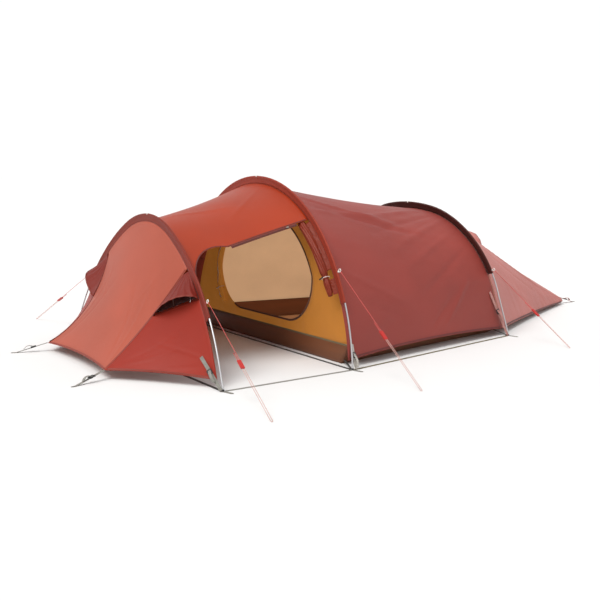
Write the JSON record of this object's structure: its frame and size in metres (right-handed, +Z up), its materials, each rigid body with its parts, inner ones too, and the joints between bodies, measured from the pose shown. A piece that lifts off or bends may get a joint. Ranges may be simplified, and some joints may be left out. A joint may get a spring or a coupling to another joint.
{
  "type": "tunnel tent",
  "caption": "Three-hoop tunnel tent, pitched: sleeved pole hoops, low tail, open side porch, inner tent with a round doorway, hooded vents, guy lines and webbing.",
  "frame": {"origin": "centre of the ground sheet's underside, on the ground", "axes": "+X from the front hoop towards the low tail, +Z up, -Y the side with the porch doorway"},
  "size_m": [4.5576, 3.3085, 1.0746],
  "materials": {
    "fly_red": "satin",
    "fly_front": "satin",
    "tail_pink": "satin",
    "inner_yellow": "satin",
    "floor_brown": "satin",
    "mesh_dark": "matte",
    "webbing_grey": "matte",
    "webbing_light": "matte",
    "pole_silver": "satin",
    "eyelet_steel": "satin",
    "zip_dark": "matte",
    "zip_metal": "satin",
    "buckle_black": "matte",
    "guy_red": "matte",
    "adjuster_red": "gloss",
    "ring_white": "matte",
    "cord_white": "matte",
    "sleeve_dark": "satin"
  },
  "bodies": {
    "tent": {"apex_tabs": "webbing_light", "corner_straps": "webbing_grey", "end_buckles": "buckle_black", "end_straps": "webbing_grey", "fly_body": "fly_red", "fly_front_panel": "fly_front", "fly_porch": "fly_red", "fly_side_panel_far": "fly_red", "fly_side_panel_near": "fly_red", "fly_tail": "tail_pink", "fly_zip": "zip_dark", "foot_buckles": "buckle_black", "foot_straps": "webbing_grey", "ground_sheet": "floor_brown", "ground_straps": "webbing_grey", "guy_line_front_far": "guy_red", "guy_line_front_near": "guy_red", "guy_line_mid_far": "guy_red", "guy_line_mid_near": "guy_red", "guy_line_rear_far": "guy_red", "guy_line_rear_near": "guy_red", "guy_rings": "ring_white", "guy_tabs": "webbing_light", "inner_canopy": "inner_yellow", "inner_door_roll": "inner_yellow", "inner_front_wall": "inner_yellow", "inner_hangers": "cord_white", "inner_rear_wall": "inner_yellow", "inner_zip": "zip_dark", "peg_eyelets": "eyelet_steel", "peg_tabs": "webbing_grey", "pole_front": "pole_silver", "pole_inserts": "pole_silver", "pole_mid": "pole_silver", "pole_rear": "pole_silver", "pole_tips": "buckle_black", "porch_door_roll": "fly_red", "shock_cords": "cord_white", "sleeve_front": "sleeve_dark", "sleeve_mid": "sleeve_dark", "sleeve_rear": "sleeve_dark", "toggle_loops": "webbing_light", "vent_hood_far": "fly_front", "vent_hood_near": "fly_front", "vent_hood_rear": "fly_red", "vent_meshes": "mesh_dark"},
    "adjuster_front_near": {"adjuster_front_near": "adjuster_red"},
    "adjuster_front_far": {"adjuster_front_far": "adjuster_red"},
    "adjuster_mid_near": {"adjuster_mid_near": "adjuster_red"},
    "adjuster_mid_far": {"adjuster_mid_far": "adjuster_red"},
    "adjuster_rear_near": {"adjuster_rear_near": "adjuster_red"},
    "adjuster_rear_far": {"adjuster_rear_far": "adjuster_red"},
    "vent_strut_near": {"vent_strut_near": "buckle_black"},
    "vent_strut_far": {"vent_strut_far": "buckle_black"},
    "vent_strut_rear": {"vent_strut_rear": "buckle_black"},
    "porch_door_toggle": {"porch_door_toggle": "buckle_black"},
    "inner_door_toggle": {"inner_door_toggle": "buckle_black"},
    "fly_zip_slider": {"fly_zip_slider": "zip_metal"},
    "inner_zip_slider": {"inner_zip_slider": "zip_metal"}
  },
  "joints": [
    {"name": "adjuster_front_near_slide", "type": "slide", "parent": "tent", "child": "adjuster_front_near", "axis": [-0.133, -0.8833, -0.4495], "range_m": [-0.045, 0.2]},
    {"name": "adjuster_front_far_slide", "type": "slide", "parent": "tent", "child": "adjuster_front_far", "axis": [-0.133, 0.8833, -0.4495], "range_m": [-0.045, 0.2]},
    {"name": "adjuster_mid_near_slide", "type": "slide", "parent": "tent", "child": "adjuster_mid_near", "axis": [0.0067, -0.7906, -0.6123], "range_m": [-0.045, 0.2]},
    {"name": "adjuster_mid_far_slide", "type": "slide", "parent": "tent", "child": "adjuster_mid_far", "axis": [0.0067, 0.7906, -0.6123], "range_m": [-0.045, 0.2]},
    {"name": "adjuster_rear_near_slide", "type": "slide", "parent": "tent", "child": "adjuster_rear_near", "axis": [0.1867, -0.7568, -0.6265], "range_m": [-0.045, 0.2]},
    {"name": "adjuster_rear_far_slide", "type": "slide", "parent": "tent", "child": "adjuster_rear_far", "axis": [0.1867, 0.7568, -0.6265], "range_m": [-0.045, 0.2]},
    {"name": "vent_strut_near_fold", "type": "hinge", "parent": "tent", "child": "vent_strut_near", "pos_m": [-2.06622, -0.56459, 0.37572], "axis": [0.4335, -0.8302, 0.3505], "range_deg": [0, 60]},
    {"name": "vent_strut_far_fold", "type": "hinge", "parent": "tent", "child": "vent_strut_far", "pos_m": [-2.06622, 0.56459, 0.37572], "axis": [-0.4335, -0.8302, -0.3505], "range_deg": [0, 60]},
    {"name": "vent_strut_rear_fold", "type": "hinge", "parent": "tent", "child": "vent_strut_rear", "pos_m": [0.64122, 0, 0.55453], "axis": [0, 1, 0], "range_deg": [0, 60]},
    {"name": "porch_door_toggle_turn", "type": "hinge", "parent": "tent", "child": "porch_door_toggle", "pos_m": [-1.2521, -0.79487, 0.49959], "axis": [-1, 0, 0], "range_deg": [-80, 80]},
    {"name": "inner_door_toggle_turn", "type": "hinge", "parent": "tent", "child": "inner_door_toggle", "pos_m": [-1.1957, 0.5269, 0.29423], "axis": [-1, 0, 0], "range_deg": [-80, 80]},
    {"name": "fly_zip_run", "type": "hinge", "parent": "tent", "child": "fly_zip_slider", "pos_m": [-1.77069, -3.32926, 0.65417], "axis": [0.2682, 0, -0.9634], "range_deg": [-7.1, 1.14]},
    {"name": "inner_zip_run", "type": "hinge", "parent": "tent", "child": "inner_zip_slider", "pos_m": [-1.145, 0, 0.25941], "axis": [1, 0, 0], "range_deg": [0, 90]}
  ]
}
